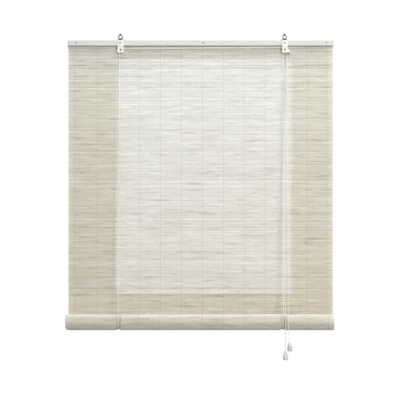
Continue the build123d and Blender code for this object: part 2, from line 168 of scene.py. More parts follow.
def bamboo_material():
    """Matt split bamboo that lets light through: streaks along each slat, darker joints, and painted
    shade on the walls of the cords' dents.
    """
    material, tree, shader = new_material("bamboo", (0.70, 0.67, 0.57), 0.5)
    grain = attribute(tree, "grain", "Vector")
    # Each slat's tone: random, except for painted light on the clamped slats and on the roll's top, and
    # a painted shadow line on the slat under the rail
    tone = attribute(tree, "tone")
    joint = attribute(tree, "joint")
    rim = attribute(tree, "rim")
    warmth = attribute(tree, "warmth")
    streaks = noise(tree, (9, 31, 120), grain)
    fibres = noise(tree, (70, 90, 1800), grain, detail=4.0, roughness=0.65)
    blotches = noise(tree, (3.2, 5.0, 3.2), detail=2.0)
    dashes = noise(tree, (15, 53, 170), grain, detail=1.0)
    light = total(tree, spread(tree, streaks, 0.3, 0.7, -0.16, 0.16), tone)
    light = total(tree, light, spread(tree, dashes, 0.60, 0.66, 0.0, 0.30))
    light = total(tree, light, spread(tree, dashes, 0.34, 0.40, -0.34, 0.0))
    light = total(tree, light, spread(tree, fibres, 0.3, 0.7, -0.10, 0.10))
    light = total(tree, light, spread(tree, blotches, 0.3, 0.7, -0.05, 0.05))
    light = total(tree, light, total(tree, rim, 0.22, "MULTIPLY"))
    ramp = add(tree, "ShaderNodeValToRGB", {"Fac": light})
    stops = ramp.color_ramp.elements
    stops[0].position, stops[0].color = 0.0, (0.54, 0.50, 0.40, 1)
    stops[1].position, stops[1].color = 1.0, (0.90, 0.885, 0.80, 1)
    for place, colour in ((0.34, (0.715, 0.675, 0.56, 1)), (0.66, (0.80, 0.765, 0.65, 1))):
        stop = stops.new(place)
        stop.color = colour
    colour = mixed(tree, warmth, ramp.outputs["Color"], (1.0, 0.955, 0.90), "MULTIPLY")
    # Dark joints, and painted shade on the walls of the cords' dents, both darken the colour towards
    # this brown
    colour = mixed(tree, total(tree, joint, 0.45, "MULTIPLY"), colour, (0.50, 0.45, 0.34))
    tree.links.new(colour, shader.inputs["Base Color"])
    normal = bumped(tree, shader, fibres, 0.00025, 0.5)
    through = mixed(tree, 0.2, (0.72, 0.82, 0.95), colour)
    glow = add(tree, "ShaderNodeBsdfTranslucent", {"Color": through, "Normal": normal})
    both = add(
        tree, "ShaderNodeMixShader", {0: 0.22, 1: shader.outputs["BSDF"], 2: glow.outputs["BSDF"]}
    )
    tree.links.new(both.outputs["Shader"], tree.nodes["Material Output"].inputs["Surface"])
    return material


def painted_wood_material():
    """Thin cream-white paint through which the grain of the batten shows a little."""
    material, tree, shader = new_material("painted_wood", (0.72, 0.72, 0.69), 0.5, specular=0.35)
    grain = noise(tree, (3.5, 90, 260), detail=5.0, roughness=0.6)
    waves = noise(tree, (2.2, 12, 75))
    scuffs = noise(tree, (60, 200, 200), detail=4.0, roughness=0.7)
    colour = mixed(tree, spread(tree, waves, 0.35, 0.7), (0.61, 0.61, 0.575), (0.70, 0.70, 0.665))
    colour = mixed(tree, spread(tree, grain, 0.45, 0.75, 0.0, 0.35), colour, (0.60, 0.585, 0.53))
    colour = mixed(tree, spread(tree, scuffs, 0.72, 0.8, 0.0, 0.5), colour, (0.62, 0.56, 0.46))
    tree.links.new(colour, shader.inputs["Base Color"])
    tree.links.new(spread(tree, grain, 0.3, 0.7, 0.42, 0.6), shader.inputs["Roughness"])
    bumped(tree, shader, grain, 0.0004, 0.35)
    return material


def bare_wood_material():
    """Bare wood with streaks along it, for the dowel."""
    material, tree, shader = new_material("bare_wood", (0.62, 0.5, 0.34), 0.6, specular=0.3)
    grain = noise(tree, (6, 420, 420), detail=5.0, roughness=0.6)
    colour = mixed(tree, spread(tree, grain, 0.35, 0.7), (0.50, 0.38, 0.24), (0.70, 0.58, 0.41))
    tree.links.new(colour, shader.inputs["Base Color"])
    bumped(tree, shader, grain, 0.0003, 0.4)
    return material


def zinc_material():
    """Bright zinc plate with dull patches and faint rolling lines."""
    material, tree, shader = new_material(
        "zinc_plate", (0.82, 0.82, 0.80), 0.55, metallic=0.1, specular=0.25
    )
    patches = noise(tree, (90, 90, 90), detail=4.0, roughness=0.6)
    lines = noise(tree, (40, 900, 1400))
    colour = mixed(tree, spread(tree, patches, 0.35, 0.65), (0.74, 0.74, 0.70), (0.82, 0.82, 0.78))
    tree.links.new(colour, shader.inputs["Base Color"])
    dull = spread(tree, patches, 0.3, 0.7, 0.48, 0.62)
    rough = total(tree, dull, spread(tree, lines, 0.3, 0.7, -0.03, 0.05))
    tree.links.new(rough, shader.inputs["Roughness"])
    bumped(tree, shader, lines, 0.00006, 0.4)
    return material


def steel_material(name, dark, light, rough_low, rough_high):
    """Plated steel whose colour and gloss vary in patches, with fine pits."""
    material, tree, shader = new_material(name, light, rough_high, metallic=0.85)
    patches = noise(tree, (260, 260, 260), detail=4.0, roughness=0.65)
    pits = noise(tree, (1500, 1500, 1500), detail=2.0)
    colour = mixed(tree, spread(tree, patches, 0.35, 0.65), dark, light)
    tree.links.new(colour, shader.inputs["Base Color"])
    tree.links.new(spread(tree, patches, 0.3, 0.7, rough_high, rough_low), shader.inputs["Roughness"])
    bumped(tree, shader, pits, 0.00008, 0.35)
    return material


def nylon_material():
    """Cloudy natural nylon with fine scratches, for the wheels."""
    material, tree, shader = new_material("natural_nylon", (0.80, 0.79, 0.74), 0.42)
    clouds = noise(tree, (220, 220, 220))
    scratches = noise(tree, (500, 4000, 500))
    colour = mixed(tree, spread(tree, clouds, 0.35, 0.65), (0.74, 0.73, 0.67), (0.84, 0.83, 0.79))
    tree.links.new(colour, shader.inputs["Base Color"])
    tree.links.new(spread(tree, scratches, 0.3, 0.7, 0.35, 0.5), shader.inputs["Roughness"])
    bumped(tree, shader, scratches, 0.00004, 0.3)
    return material


def dark_plastic_material():
    """Near black moulded plastic, for the lock roller."""
    material, tree, shader = new_material("dark_plastic", (0.10, 0.10, 0.10), 0.48)
    clouds = noise(tree, (400, 400, 400), detail=4.0)
    colour = mixed(tree, spread(tree, clouds, 0.35, 0.65), (0.075, 0.075, 0.078), (0.125, 0.125, 0.125))
    tree.links.new(colour, shader.inputs["Base Color"])
    tree.links.new(spread(tree, clouds, 0.3, 0.7, 0.42, 0.55), shader.inputs["Roughness"])
    bumped(tree, shader, clouds, 0.00005, 0.3)
    return material


def tassel_material():
    """Satin moulded plastic with faint flow marks."""
    material, tree, shader = new_material("tassel_plastic", (0.66, 0.67, 0.65), 0.38)
    clouds = noise(tree, (70, 70, 35))
    flow = noise(tree, (900, 900, 120), detail=2.0)
    colour = mixed(tree, spread(tree, clouds, 0.35, 0.65), (0.61, 0.62, 0.60), (0.71, 0.72, 0.70))
    tree.links.new(colour, shader.inputs["Base Color"])
    tree.links.new(spread(tree, clouds, 0.3, 0.7, 0.33, 0.45), shader.inputs["Roughness"])
    bumped(tree, shader, flow, 0.00005, 0.3)
    return material


def cord_material():
    """Off-white twisted cord with painted shade between the strands and fine fibres along them."""
    material, tree, shader = new_material("twisted_cord", (0.85, 0.84, 0.79), 0.8, specular=0.2)
    groove_shade = attribute(tree, "groove_shade")
    fibres = noise(tree, (2600, 2600, 900), roughness=0.7)
    soil = noise(tree, (14, 14, 9))
    colour = mixed(tree, spread(tree, soil, 0.35, 0.7), (0.93, 0.92, 0.89), (0.86, 0.85, 0.81))
    # Painted shade in the grooves between the strands
    colour = mixed(tree, total(tree, groove_shade, 0.4, "MULTIPLY"), colour, (0.60, 0.58, 0.51))
    colour = mixed(tree, spread(tree, fibres, 0.35, 0.65, 0.0, 0.22), colour, (0.97, 0.96, 0.93))
    tree.links.new(colour, shader.inputs["Base Color"])
    bumped(tree, shader, fibres, 0.00012, 0.6)
    shader.inputs["Sheen Weight"].default_value = 0.15
    shader.inputs["Sheen Roughness"].default_value = 0.5
    return material


def thread_material():
    """Soft spun thread, a little darker than the slats."""
    material, tree, shader = new_material("warp_thread", (0.70, 0.67, 0.57), 0.85, specular=0.2)
    fibres = noise(tree, (3000, 3000, 1200))
    colour = mixed(tree, spread(tree, fibres, 0.3, 0.7), (0.46, 0.43, 0.34), (0.60, 0.57, 0.48))
    tree.links.new(colour, shader.inputs["Base Color"])
    bumped(tree, shader, fibres, 0.0001, 0.5)
    return material


def floor_material():
    """Pale, plain and dull, with faint clouds."""
    material, tree, shader = new_material("pale_floor", (0.80, 0.80, 0.79), 0.75, specular=0.2)
    clouds = noise(tree, (2, 2, 2))
    colour = mixed(tree, clouds, (0.78, 0.78, 0.77), (0.82, 0.82, 0.81))
    tree.links.new(colour, shader.inputs["Base Color"])
    return material


BAMBOO = bamboo_material()
PAINTED = painted_wood_material()
BARE_WOOD = bare_wood_material()
ZINC = zinc_material()
FASTENER = steel_material("dull_steel", (0.02, 0.02, 0.02), (0.06, 0.06, 0.058), 0.4, 0.6)
DARK_STEEL = steel_material("dark_plated_steel", (0.08, 0.08, 0.077), (0.17, 0.17, 0.165), 0.46, 0.62)
NYLON = nylon_material()
DARK_PLASTIC = dark_plastic_material()
TASSEL = tassel_material()
STRAND = cord_material()
THREAD = thread_material()

SIDES = ("left", "right")
cad_finish = {
    "front_batten": PAINTED,
    "rear_batten": PAINTED,
    "bottom_dowel": BARE_WOOD,
    "lock_roller": DARK_PLASTIC,
    "lock_pin": FASTENER,
    "left_wheel": NYLON,
    "right_front_wheel": NYLON,
    "right_rear_wheel": NYLON,
}
for number in (1, 2, 3):
    cad_finish[f"rail_screw_{number}"] = FASTENER
for side in SIDES:
    cad_finish[f"{side}_clip"] = ZINC
    cad_finish[f"{side}_housing"] = ZINC
    cad_finish[f"{side}_clip_screw"] = FASTENER
    cad_finish[f"{side}_axle"] = FASTENER
    cad_finish[f"{side}_cord_staple"] = FASTENER
    cad_finish[f"{side}_hanger_eye"] = DARK_STEEL
    # The collars' near-black steel is painted shade: it stands in for the dark band of shade over each
    # clip's top
    cad_finish[f"{side}_eye_collar"] = FASTENER
    cad_finish[f"{side}_tassel"] = TASSEL
for name, material in cad_finish.items():
    NODES[name].data.materials.clear()
    NODES[name].data.materials.append(material)


# Mesh building


def mesh_object(name, points, faces, material, values):
    """A smooth object from points and faces, with {name: (kind, values)} stored on its points."""
    mesh = bpy.data.meshes.new(name)
    mesh.from_pydata(np.asarray(points).tolist(), [], faces)
    mesh.materials.append(material)
    mesh.polygons.foreach_set("use_smooth", [len(face) == 4 for face in faces])
    for key, (kind, data) in values.items():
        made = mesh.attributes.new(key, kind, "POINT")
        field = "vector" if kind == "FLOAT_VECTOR" else "value"
        made.data.foreach_set(field, np.asarray(data, np.float32).ravel())
    mesh.update()
    obj = bpy.data.objects.new(name, mesh)
    bpy.context.collection.objects.link(obj)
    return obj


def ring_faces(first, rings, around):
    """Faces of a closed tube of rings, with a cap at each end."""
    faces = []
    for i in range(rings - 1):
        a = first + i * around
        for j in range(around):
            k = (j + 1) % around
            faces.append((a + j, a + k, a + around + k, a + around + j))
    faces.append(tuple(first + j for j in reversed(range(around))))
    faces.append(tuple(first + (rings - 1) * around + j for j in range(around)))
    return faces


# Collars: cup washers that stand round the foot of each hanger eye

# Each ring's radius as a share of the CAD collar's, and its height; points in a ring
COLLAR = (
    (1.06, 0.0), (1.12, 0.0004), (1.14, 0.0010), (1.12, 0.0018), (1.02, 0.0030),
    (0.86, 0.0039), (0.70, 0.0044), (0.60, 0.0043), (0.56, 0.0037),
)
COLLAR_AROUND = 48


def eye_collar(side):
    """A turned collar: a rounded rim, a domed shoulder and a sunk middle."""
    low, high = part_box(f"{side}_eye_collar")
    radius = (high.x - low.x) / 2
    turn = np.linspace(0, 2 * math.pi, COLLAR_AROUND, endpoint=False)
    rings = [
        np.stack(
            [
                (low.x + high.x) / 2 + radius * share * np.cos(turn),
                (low.y + high.y) / 2 + radius * share * np.sin(turn),
                np.full(COLLAR_AROUND, low.z + height),
            ],
            1,
        )
        for share, height in COLLAR
    ]
    faces = ring_faces(0, len(rings), COLLAR_AROUND)
    # Near-black steel, painted shade for the dark band over the clip's top
    made = mesh_object(f"{side}_collar", np.concatenate(rings), faces, FASTENER, {})
    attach(made, "head")
    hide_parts(f"{side}_eye_collar")


for side in SIDES:
    eye_collar(side)


# Slats. Each meets the next at a wavy line that both share.

# A slat's section, as shares of its width and thickness
SECTION = (
    (-0.5, -0.12), (-0.47, 0.30), (-0.27, 0.47), (0.27, 0.47),
    (0.47, 0.30), (0.5, -0.12), (0.30, -0.48), (-0.30, -0.48),
)

# How far an edge waves, and how far a slat's ends, middle and face depart from true
EDGE_WAVE = 0.00016
TRIM = 0.0014
BOW = 0.00008
LEAN = 0.0008

# Lengths across the width over which a joint swells and a slat's ends are made lighter, and how near
# to the mat's sides a joint may lie
JOINT_SWELL = 0.0026
LIGHTER_END = 0.011
JOINT_INSET = 0.01

# Rings beside a joint, and beside a slat's ends, where no other ring comes too near
JOINT_RINGS = (-0.0035, -0.0012, 0.0012, 0.0035)
END_RING = 0.0006
CLEAR_END = 0.002

# The mat grows warmer from this far below its top, over this length
WARM_FROM = 0.05
WARM_OVER = 0.75


class Edge:
    """The line between two slats: its place along the mat, and how it waves across the width."""

    def __init__(self, place):
        self.place = place
        self.waves = [
            (random.uniform(0.3, 1.0) * EDGE_WAVE, random.uniform(7, 26), random.uniform(0, 6.3))
            for _ in range(2)
        ]

    def at(self, x):
        """The edge's place along the mat, at one or more places across it."""
        return self.place + sum(a * np.sin(k * x + p) for a, k, p in self.waves)


def slat_edges(start, end, count):
    """Edges of slats of unlike widths, which fill a length."""
    widths = [random.uniform(0.8, 1.2) for _ in range(count)]
    scale = (end - start) / sum(widths)
    places = [start]
    for width in widths:
        places.append(places[-1] + width * scale)
    return [Edge(place) for place in places]


class Slat:
    """What sets one slat apart: its edges, thickness, tone, joints and ends.

    A tone of None leaves it to chance.
    """

    def __init__(self, upper, lower, thickness, tone):
        self.upper, self.lower = upper, lower
        self.thickness = thickness
        self.seed = random.uniform(0, 40)
        kind = random.random()
        self.tone = 0.5 + random.gauss(0, 0.05)
        if kind < 0.10:
            self.tone += random.uniform(0.08, 0.16)
        elif kind < 0.24:
            self.tone -= random.uniform(0.08, 0.2)
        if tone is not None:
            self.tone = tone
        first = random.uniform(0, 0.33)
        joints = [MAT_LEFT + first + n * random.uniform(0.29, 0.34) for n in range(3)]
        self.joints = [x for x in joints if MAT_LEFT + JOINT_INSET < x < MAT_RIGHT - JOINT_INSET]
        self.trim = (random.uniform(0.0, TRIM), random.uniform(0.0, TRIM))
        self.bow = (random.uniform(-1, 1) * BOW, random.uniform(3, 9), random.uniform(0, 6.3))
        self.lean = random.uniform(-1, 1) * LEAN


def slat_rings(slat, stations):
    """Places across the width where a slat gets a ring, joints included."""
    places = list(stations)
    for x in slat.joints:
        places += [x + away for away in JOINT_RINGS]
    low, high = MAT_LEFT + slat.trim[0], MAT_RIGHT - slat.trim[1]
    middle = sorted(x for x in places if low + CLEAR_END < x < high - CLEAR_END)
    return np.array([low, low + END_RING] + middle + [high - END_RING, high])


def build_slats(name, slats, stations_of, place, dent_shade=None, warm=1.0):
    """One mesh of many slats.

    place(slat, x, along, out) gives the points of a slat's rings, and the last argument, a function
    of (slat, xs), gives how much painted shade they get.
    """
    points, faces = [], []
    grain, tone, joint, rim, warmth = [], [], [], [], []
    around = len(SECTION)
    section = np.array(SECTION)
    for slat in slats:
        xs = slat_rings(slat, stations_of(slat))
        upper = slat.upper.at(xs) + SLAT_GAP / 2
        lower = slat.lower.at(xs) - SLAT_GAP / 2
        swell = np.zeros(len(xs))
        for x in slat.joints:
            swell = np.maximum(swell, np.clip(1.35 - np.abs(xs - x) / JOINT_SWELL, 0, 1))
        middle, width = (upper + lower) / 2, lower - upper
        thickness = slat.thickness * (1 + 0.09 * swell)
        offset = width[:, None] * section[None, :, 0]
        along = middle[:, None] + offset
        amount, waves, phase = slat.bow
        out = thickness[:, None] * section[None, :, 1] + slat.lean * section[None, :, 0]
        out = out + (amount * np.sin(waves * xs + phase))[:, None]
        across = np.repeat(xs[:, None], around, 1)
        made = place(slat, across, along, out)
        first = sum(len(p) for p in points)
        points.append(made.reshape(-1, 3))
        faces += ring_faces(first, len(xs), around)
        local = np.stack([across, np.full_like(across, slat.seed), offset], 2)
        grain.append(local.reshape(-1, 3))
        tone.append(np.full(across.size, slat.tone))
        # Darkening from the joints, and painted shade on the dent walls
        dark_joint_and_shade = swell if dent_shade is None else np.maximum(swell, dent_shade(slat, xs))
        joint.append(np.repeat(dark_joint_and_shade, around))
        edge = np.minimum(xs - MAT_LEFT, MAT_RIGHT - xs)
        # Lighter towards the mat's sides
        rim.append(np.repeat(np.clip(2.0 - edge / LIGHTER_END, 0, 1), around))
        warmer = warm * np.clip((middle - WARM_FROM) / WARM_OVER, 0, 1)
        warmth.append(np.repeat(warmer, around))
    values = {
        "grain": ("FLOAT_VECTOR", np.concatenate(grain)),
        "tone": ("FLOAT", np.concatenate(tone)),
        "joint": ("FLOAT", np.concatenate(joint)),
        "rim": ("FLOAT", np.concatenate(rim)),
        "warmth": ("FLOAT", np.concatenate(warmth)),
    }
    return mesh_object(name, np.concatenate(points), faces, BAMBOO, values)


# Along the mat, 0 is the top of the panel; the roll starts at MAT_DROP.
# The first slats are clamped in the rail and painted pale, painted light that evens out the shade under
# the front batten; the one just under the rear batten is painted dark, a painted shadow line.
rear_edge = MAT_TOP - rear_foot
# Where the painted shadow line lies: the slat at the rear batten's foot
PAINTED_SHADOW_SLAT = (rear_edge - 0.0010, rear_edge + 0.0023)
CLAMPED = 5
edges = slat_edges(0, PAINTED_SHADOW_SLAT[0], CLAMPED)
edges += slat_edges(PAINTED_SHADOW_SLAT[1], MAT_DROP, SLATS - CLAMPED - 1)
# Tone 0.95 is painted light on the clamped slats, 0.05 is the painted shadow line
tones = [0.95] * CLAMPED + [0.05] + [None] * (SLATS - CLAMPED - 1)
panel_slats = []
for i, tone in enumerate(tones):
    thickness = random.uniform(0.0014, 0.00155 if i <= CLAMPED else 0.00175)
    panel_slats.append(Slat(edges[i], edges[i + 1], thickness, tone))

STATIONS = np.linspace(MAT_LEFT, MAT_RIGHT, 34)[1:-1]


def on_panel(slat, x, along, out):
    """Points of a hanging slat's rings."""
    return np.stack([x, -out, MAT_TOP - along], 2)


panel = build_slats("mat_slats", panel_slats, lambda slat: STATIONS, on_panel)
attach(panel, "head")
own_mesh(panel)
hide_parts("mat_panel")


# The roll

loop_x = {side: sum(v.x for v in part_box(f"{side}_roll_loop")) / 2 for side in SIDES}


def spiral_length(angle):
    """How much of the mat the spiral holds from its start to an angle."""
    return SPIRAL_START * angle - SHRINK * angle**2 / 2


def spiral_angle(length):
    """The angle at which the spiral holds that much of the mat."""
    root = np.sqrt(np.maximum(SPIRAL_START**2 - 2 * SHRINK * length, 0))
    return (SPIRAL_START - root) / SHRINK


# Angles where the cords begin and stop pressing on a turn, and over what angles that grows and fades
PRESS_FROM, PRESS_GROWS = 0.3, 1.0
PRESS_TO, PRESS_FADES = math.pi + 1.3, 0.9


def pressed(angle):
    """How hard the cords press on the mat: under and in front of the roll, less on inner turns."""
    turn = np.floor(angle / (2 * math.pi))
    local = angle - turn * 2 * math.pi
    begins = np.clip((local - PRESS_FROM) / PRESS_GROWS, 0, 1)
    ends = np.clip((PRESS_TO - local) / PRESS_FADES, 0, 1)
    share = begins**2 * (3 - 2 * begins) * ends**2 * (3 - 2 * ends)
    return share * np.clip(1 - 0.3 * turn, 0, 1)


# Depth and half width of a dent; height, place and half width of the bulge beside it
DENT_DEPTH, DENT_WIDTH = 0.0034, 0.0062
BULGE_HEIGHT, BULGE_PLACE, BULGE_WIDTH = 0.0007, 0.0115, 0.004


def dent(x, angle):
    """How far the mat is pressed in next to the cords; it bulges a little on either side."""
    depth = 0.0
    for place in loop_x.values():
        away = abs(x - place)
        depth = depth + DENT_DEPTH * np.exp(-((away / DENT_WIDTH) ** 2))
        depth = depth - BULGE_HEIGHT * np.exp(-(((away - BULGE_PLACE) / BULGE_WIDTH) ** 2))
    return depth * pressed(angle)


# Painted shade on the walls of a dent: how far from the cord, how much further on the roll's upper
# front, its half width and how dark the painted shade is
WALL_AWAY, WALL_OPENS = 0.0045, 0.006
WALL_WIDTH = 0.0022
WALL_SHADE = 2.2


def dent_wall_shade(slat, x):
    """Painted shade on the walls of the cords' dents, which close up towards the foot."""
    angle = float(spiral_angle((slat.upper.place + slat.lower.place) / 2 - MAT_DROP))
    local = angle % (2 * math.pi)
    reach = WALL_AWAY + WALL_OPENS * min(max((local - math.pi) / 1.2, 0), 1)
    walls = [np.exp(-(((abs(x - place) - reach) / WALL_WIDTH) ** 2)) for place in loop_x.values()]
    return WALL_SHADE * float(pressed(angle)) * sum(walls)


def drift(angle):
    """The turns lie a little to either side of each other."""
    start = (roll_low.x + roll_high.x - MAT_LEFT - MAT_RIGHT) / 2
    turns = angle / (2 * math.pi)
    slow, quick = 0.0016 * np.sin(turns * 2.2), 0.0007 * np.sin(turns * 5)
    return start * np.clip(turns * 1.4, 0, 1) + slow - quick


def on_roll(slat, x, along, out):
    """Points of a rolled slat's rings."""
    middle = (slat.upper.place + slat.lower.place) / 2 - MAT_DROP
    angle = float(spiral_angle(middle))
    radius = SPIRAL_START - SHRINK * angle
    offset = along - MAT_DROP - middle
    reach = radius - out - dent(x, angle)
    y = SPIRAL_Y + reach * math.cos(angle) - offset * math.sin(angle)
    z = ROLL_Z - reach * math.sin(angle) - offset * math.cos(angle)
    return np.stack([x + float(drift(angle)), y, z], 2)


ROLL_LENGTH = spiral_length(2 * math.pi * SPIRAL_TURNS)
roll_edges = slat_edges(MAT_DROP, MAT_DROP + ROLL_LENGTH, round(ROLL_LENGTH * SLATS / MAT_DROP))
roll_slats = []

# Slats on the roll's top are made lighter as a painted highlight, between these angles from straight
# up, in radians
HIGHLIGHT_FROM, HIGHLIGHT_TO = -0.75, 0.35
for upper, lower in zip(roll_edges, roll_edges[1:]):
    facing = float(spiral_angle(upper.place - MAT_DROP)) - 1.5 * math.pi
    # A tone of 1.0 paints the highlight on the roll's top
    tone = 1.0 if HIGHLIGHT_FROM < facing < HIGHLIGHT_TO else None
    roll_slats.append(Slat(upper, lower, random.uniform(0.0014, 0.0017), tone))

# Turns of the roll that get the most rings, and turns from which on the slats get the fewest
OUTER_TURNS, INNER_TURNS = 1.15, 3.1

# Closer rings where the cords dent the roll
BESIDE_CORD = (0.0025, 0.0055, 0.0085, 0.012, 0.016, 0.021)
near_cord = np.array([-away for away in reversed(BESIDE_CORD)] + [0, *BESIDE_CORD])
cord_stations = np.concatenate([place + near_cord for place in loop_x.values()])


def roll_stations(slat):
    """Rings of a rolled slat: fewer on the inner turns, where only the ends show."""
    turns = float(spiral_angle(slat.upper.place - MAT_DROP)) / (2 * math.pi)
    if turns > INNER_TURNS:
        return np.linspace(MAT_LEFT, MAT_RIGHT, 5)[1:-1]
    count = 30 if turns < OUTER_TURNS else 8
    return np.concatenate([np.linspace(MAT_LEFT, MAT_RIGHT, count)[1:-1], cord_stations])


roll = build_slats(
    "roll_slats", roll_slats, roll_stations, on_roll, dent_shade=dent_wall_shade, warm=0.4
)
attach(roll, "roll")
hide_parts("mat_roll")


# Warp threads, twined round the slats in pairs

# Points in a thread's ring, and the turns of the roll that get threads
THREAD_AROUND = 4
THREAD_TURNS = 1.6


def tube_rings(line):
    """Points of a thread's tube along a line in one plane across X."""
    line = np.asarray(line)
    ahead = np.gradient(line, axis=0)
    ahead /= np.linalg.norm(ahead, axis=1)[:, None]
    side = np.array([1.0, 0, 0])
    up = np.cross(side, ahead)
    turn = np.linspace(0, 2 * math.pi, THREAD_AROUND, endpoint=False) + 0.4
    rings = line[:, None] + THREAD_RADIUS * (
        np.cos(turn)[None, :, None] * side + np.sin(turn)[None, :, None] * up[:, None]
    )
    return rings.reshape(-1, 3)


def build_threads(name, lines):
    """One mesh of many threads."""
    points, faces, count = [], [], 0
    for line in lines:
        rings = tube_rings(line)
        faces += ring_faces(count, len(line), THREAD_AROUND)
        count += len(rings)
        points.append(rings)
    return mesh_object(name, np.concatenate(points), faces, THREAD, {})


def panel_thread(x, sign):
    """A thread's line down the hanging mat, in front of and behind the slats by turns."""
    line = []
    for i, slat in enumerate(panel_slats):
        clamped = slat.upper.place < rear_edge
        reach = CLAMPED_LIFT if clamped else slat.thickness / 2 + THREAD_LIFT
        wander = x + 0.0004 * math.sin(i * 0.31 + x * 40)
        middle = float(slat.upper.at(x) + slat.lower.at(x)) / 2
        line.append((wander, sign * reach * (1 if i % 2 else -1), MAT_TOP - middle))
        if i + 1 < len(panel_slats):
            line.append((wander, 0, MAT_TOP - float(slat.lower.at(x))))
    return line


def roll_thread(x, sign):
    """A thread's line round the roll's outer turns."""
    line = []
    for i, slat in enumerate(roll_slats):
        middle = (slat.upper.place + slat.lower.place) / 2 - MAT_DROP
        if spiral_angle(middle) > 2 * math.pi * THREAD_TURNS:
            break
        for place, reach in (
            (middle, sign * (slat.thickness / 2 + THREAD_LIFT) * (1 if i % 2 else -1)),
            (slat.lower.place - MAT_DROP, 0),
        ):
            angle = float(spiral_angle(place))
            radius = SPIRAL_START - SHRINK * angle + reach - float(dent(x, angle))
            y = SPIRAL_Y + radius * math.cos(angle)
            z = ROLL_Z - radius * math.sin(angle)
            line.append((x + float(drift(angle)), y, z))
    return line


warp_x = [MAT_LEFT + WARP_INSET] + [n * WARP_SPACING for n in range(-5, 6)] + [MAT_RIGHT - WARP_INSET]
threads = build_threads("warp_threads", [panel_thread(x, sign) for x in warp_x for sign in (-1, 1)])
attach(threads, "head")
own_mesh(threads)
roll_threads = build_threads(
    "roll_warp_threads", [roll_thread(x, sign) for x in warp_x for sign in (-1, 1)]
)
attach(roll_threads, "roll")


# Cords


def spline_line(points, step):
    """Points along the smooth NURBS line of a cord's route, a step apart."""
    data = bpy.data.curves.new("route", "CURVE")
    data.dimensions = "3D"
    data.resolution_u = 48
    spline = data.splines.new("NURBS")
    spline.points.add(len(points) - 1)
    for point, place in zip(spline.points, points):
        point.co = (*place, 1)
    spline.order_u = 3
    spline.use_endpoint_u = True
    route = bpy.data.objects.new("route", data)
    bpy.context.collection.objects.link(route)
    mesh = bpy.data.meshes.new_from_object(route)
    line = np.array([v.co for v in mesh.vertices], float)
    bpy.data.objects.remove(route)
    bpy.data.curves.remove(data)
    bpy.data.meshes.remove(mesh)
    return resampled(line, step)


def resampled(line, step):
    """The same line with its points a step apart."""
    line = np.asarray(line, float)
    gaps = np.linalg.norm(np.diff(line, axis=0), axis=1)
    line = np.concatenate([line[:1], line[1:][gaps > 1e-9]])
    gone = np.concatenate([[0], np.cumsum(np.linalg.norm(np.diff(line, axis=0), axis=1))])
    count = max(3, int(round(gone[-1] / step)) + 1)
    at = np.linspace(0, gone[-1], count)
    return np.stack([np.interp(at, gone, line[:, k]) for k in range(3)], 1)


# A cord's three strands: depth of the grooves as a share of its radius, and length of one whole
# twist. Points in a ring, and the distance between a knot's rings.
STRAND_DEPTH = 0.13
TWIST = 0.0062
AROUND = 12
KNOT_STEP = 0.0007


def rope_mesh(line, diameter):
    """Rings of a three-strand twisted cord along a line, and how deep each point lies."""
    ahead = np.gradient(line, axis=0)
    ahead /= np.linalg.norm(ahead, axis=1)[:, None]
    side = Vector(ahead[0].tolist()).orthogonal().normalized()
    previous = Vector(ahead[0].tolist())
    gone = np.concatenate([[0], np.cumsum(np.linalg.norm(np.diff(line, axis=0), axis=1))])
    turn = np.arange(AROUND) * 2 * math.pi / AROUND
    points, depth = [], []
    for place, heading, distance in zip(line, ahead, gone):
        heading = Vector(heading.tolist())
        side = previous.rotation_difference(heading) @ side
        side = (side - heading * side.dot(heading)).normalized()
        previous = heading
        up = heading.cross(side)
        lobes = np.cos(3 * (turn - 2 * math.pi * distance / TWIST / 3))
        radius = diameter / 2 * (1 - STRAND_DEPTH + STRAND_DEPTH * lobes)
        ring = (
            place
            + np.outer(radius * np.cos(turn), np.array(side))
            + np.outer(radius * np.sin(turn), np.array(up))
        )
        points.append(ring)
        depth.append((1 - lobes) / 2)
    return np.concatenate(points), ring_faces(0, len(line), AROUND), np.concatenate(depth)


def rope(name, line, diameter):
    """A twisted cord along a line."""
    points, faces, depth = rope_mesh(line, diameter)
    return mesh_object(name, points, faces, STRAND, {"groove_shade": ("FLOAT", depth)})


def knot(name, centre, size, thickness, turn):
    """A small overhand knot pulled tight: a trefoil of cord."""
    t = np.linspace(0, 2 * math.pi, 60)
    line = np.stack(
        [np.sin(t) + 2 * np.sin(2 * t), np.cos(t) - 2 * np.cos(2 * t), -1.3 * np.sin(3 * t)], 1
    )
    scale = (size - thickness * 0.45) / np.abs(line).max()
    x, y, z = (line * scale).T
    cos, sin = math.cos(turn), math.sin(turn)
    line = np.stack([x * cos - z * sin, y, x * sin + z * cos], 1)
    line = resampled(line + np.array(centre), KNOT_STEP)
    points, faces, depth = rope_mesh(line, thickness)
    return mesh_object(name, points, faces, STRAND, {"groove_shade": ("FLOAT", depth)})


def centre_of(node):
    """The middle of a CAD node's box."""
    low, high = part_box(node)
    return (low + high) / 2


# How far a rolled slat stands out from the spiral, and how deep a cord beds into it
SLAT_SKIN = 0.00082
BEDDED = 0.0001


def loop_radius(angle, x):
    """Radius of the cord's centreline where it lies on the roll."""
    surface = SPIRAL_START - SHRINK * angle + SLAT_SKIN
    return surface + CORD / 2 - BEDDED - float(dent(np.array(x), np.array(angle)))


def loop_point(x, angle):
    """A point on the cord's centreline, at an angle round the roll."""
    radius = loop_radius(angle, x)
    return (x, SPIRAL_Y + radius * math.cos(angle), ROLL_Z - radius * math.sin(angle))


# Distance between a cord's rings, and the angle round the roll at which its loop ends
STEP = 0.0011
LOOP_END = math.pi + 0.045

# The wheel that each front cord runs up to
wheels = {"left": "left_wheel", "right": "right_rear_wheel"}

# How far in front of its knot's middle a rear cord begins
ANCHOR_FORWARD = 0.0006

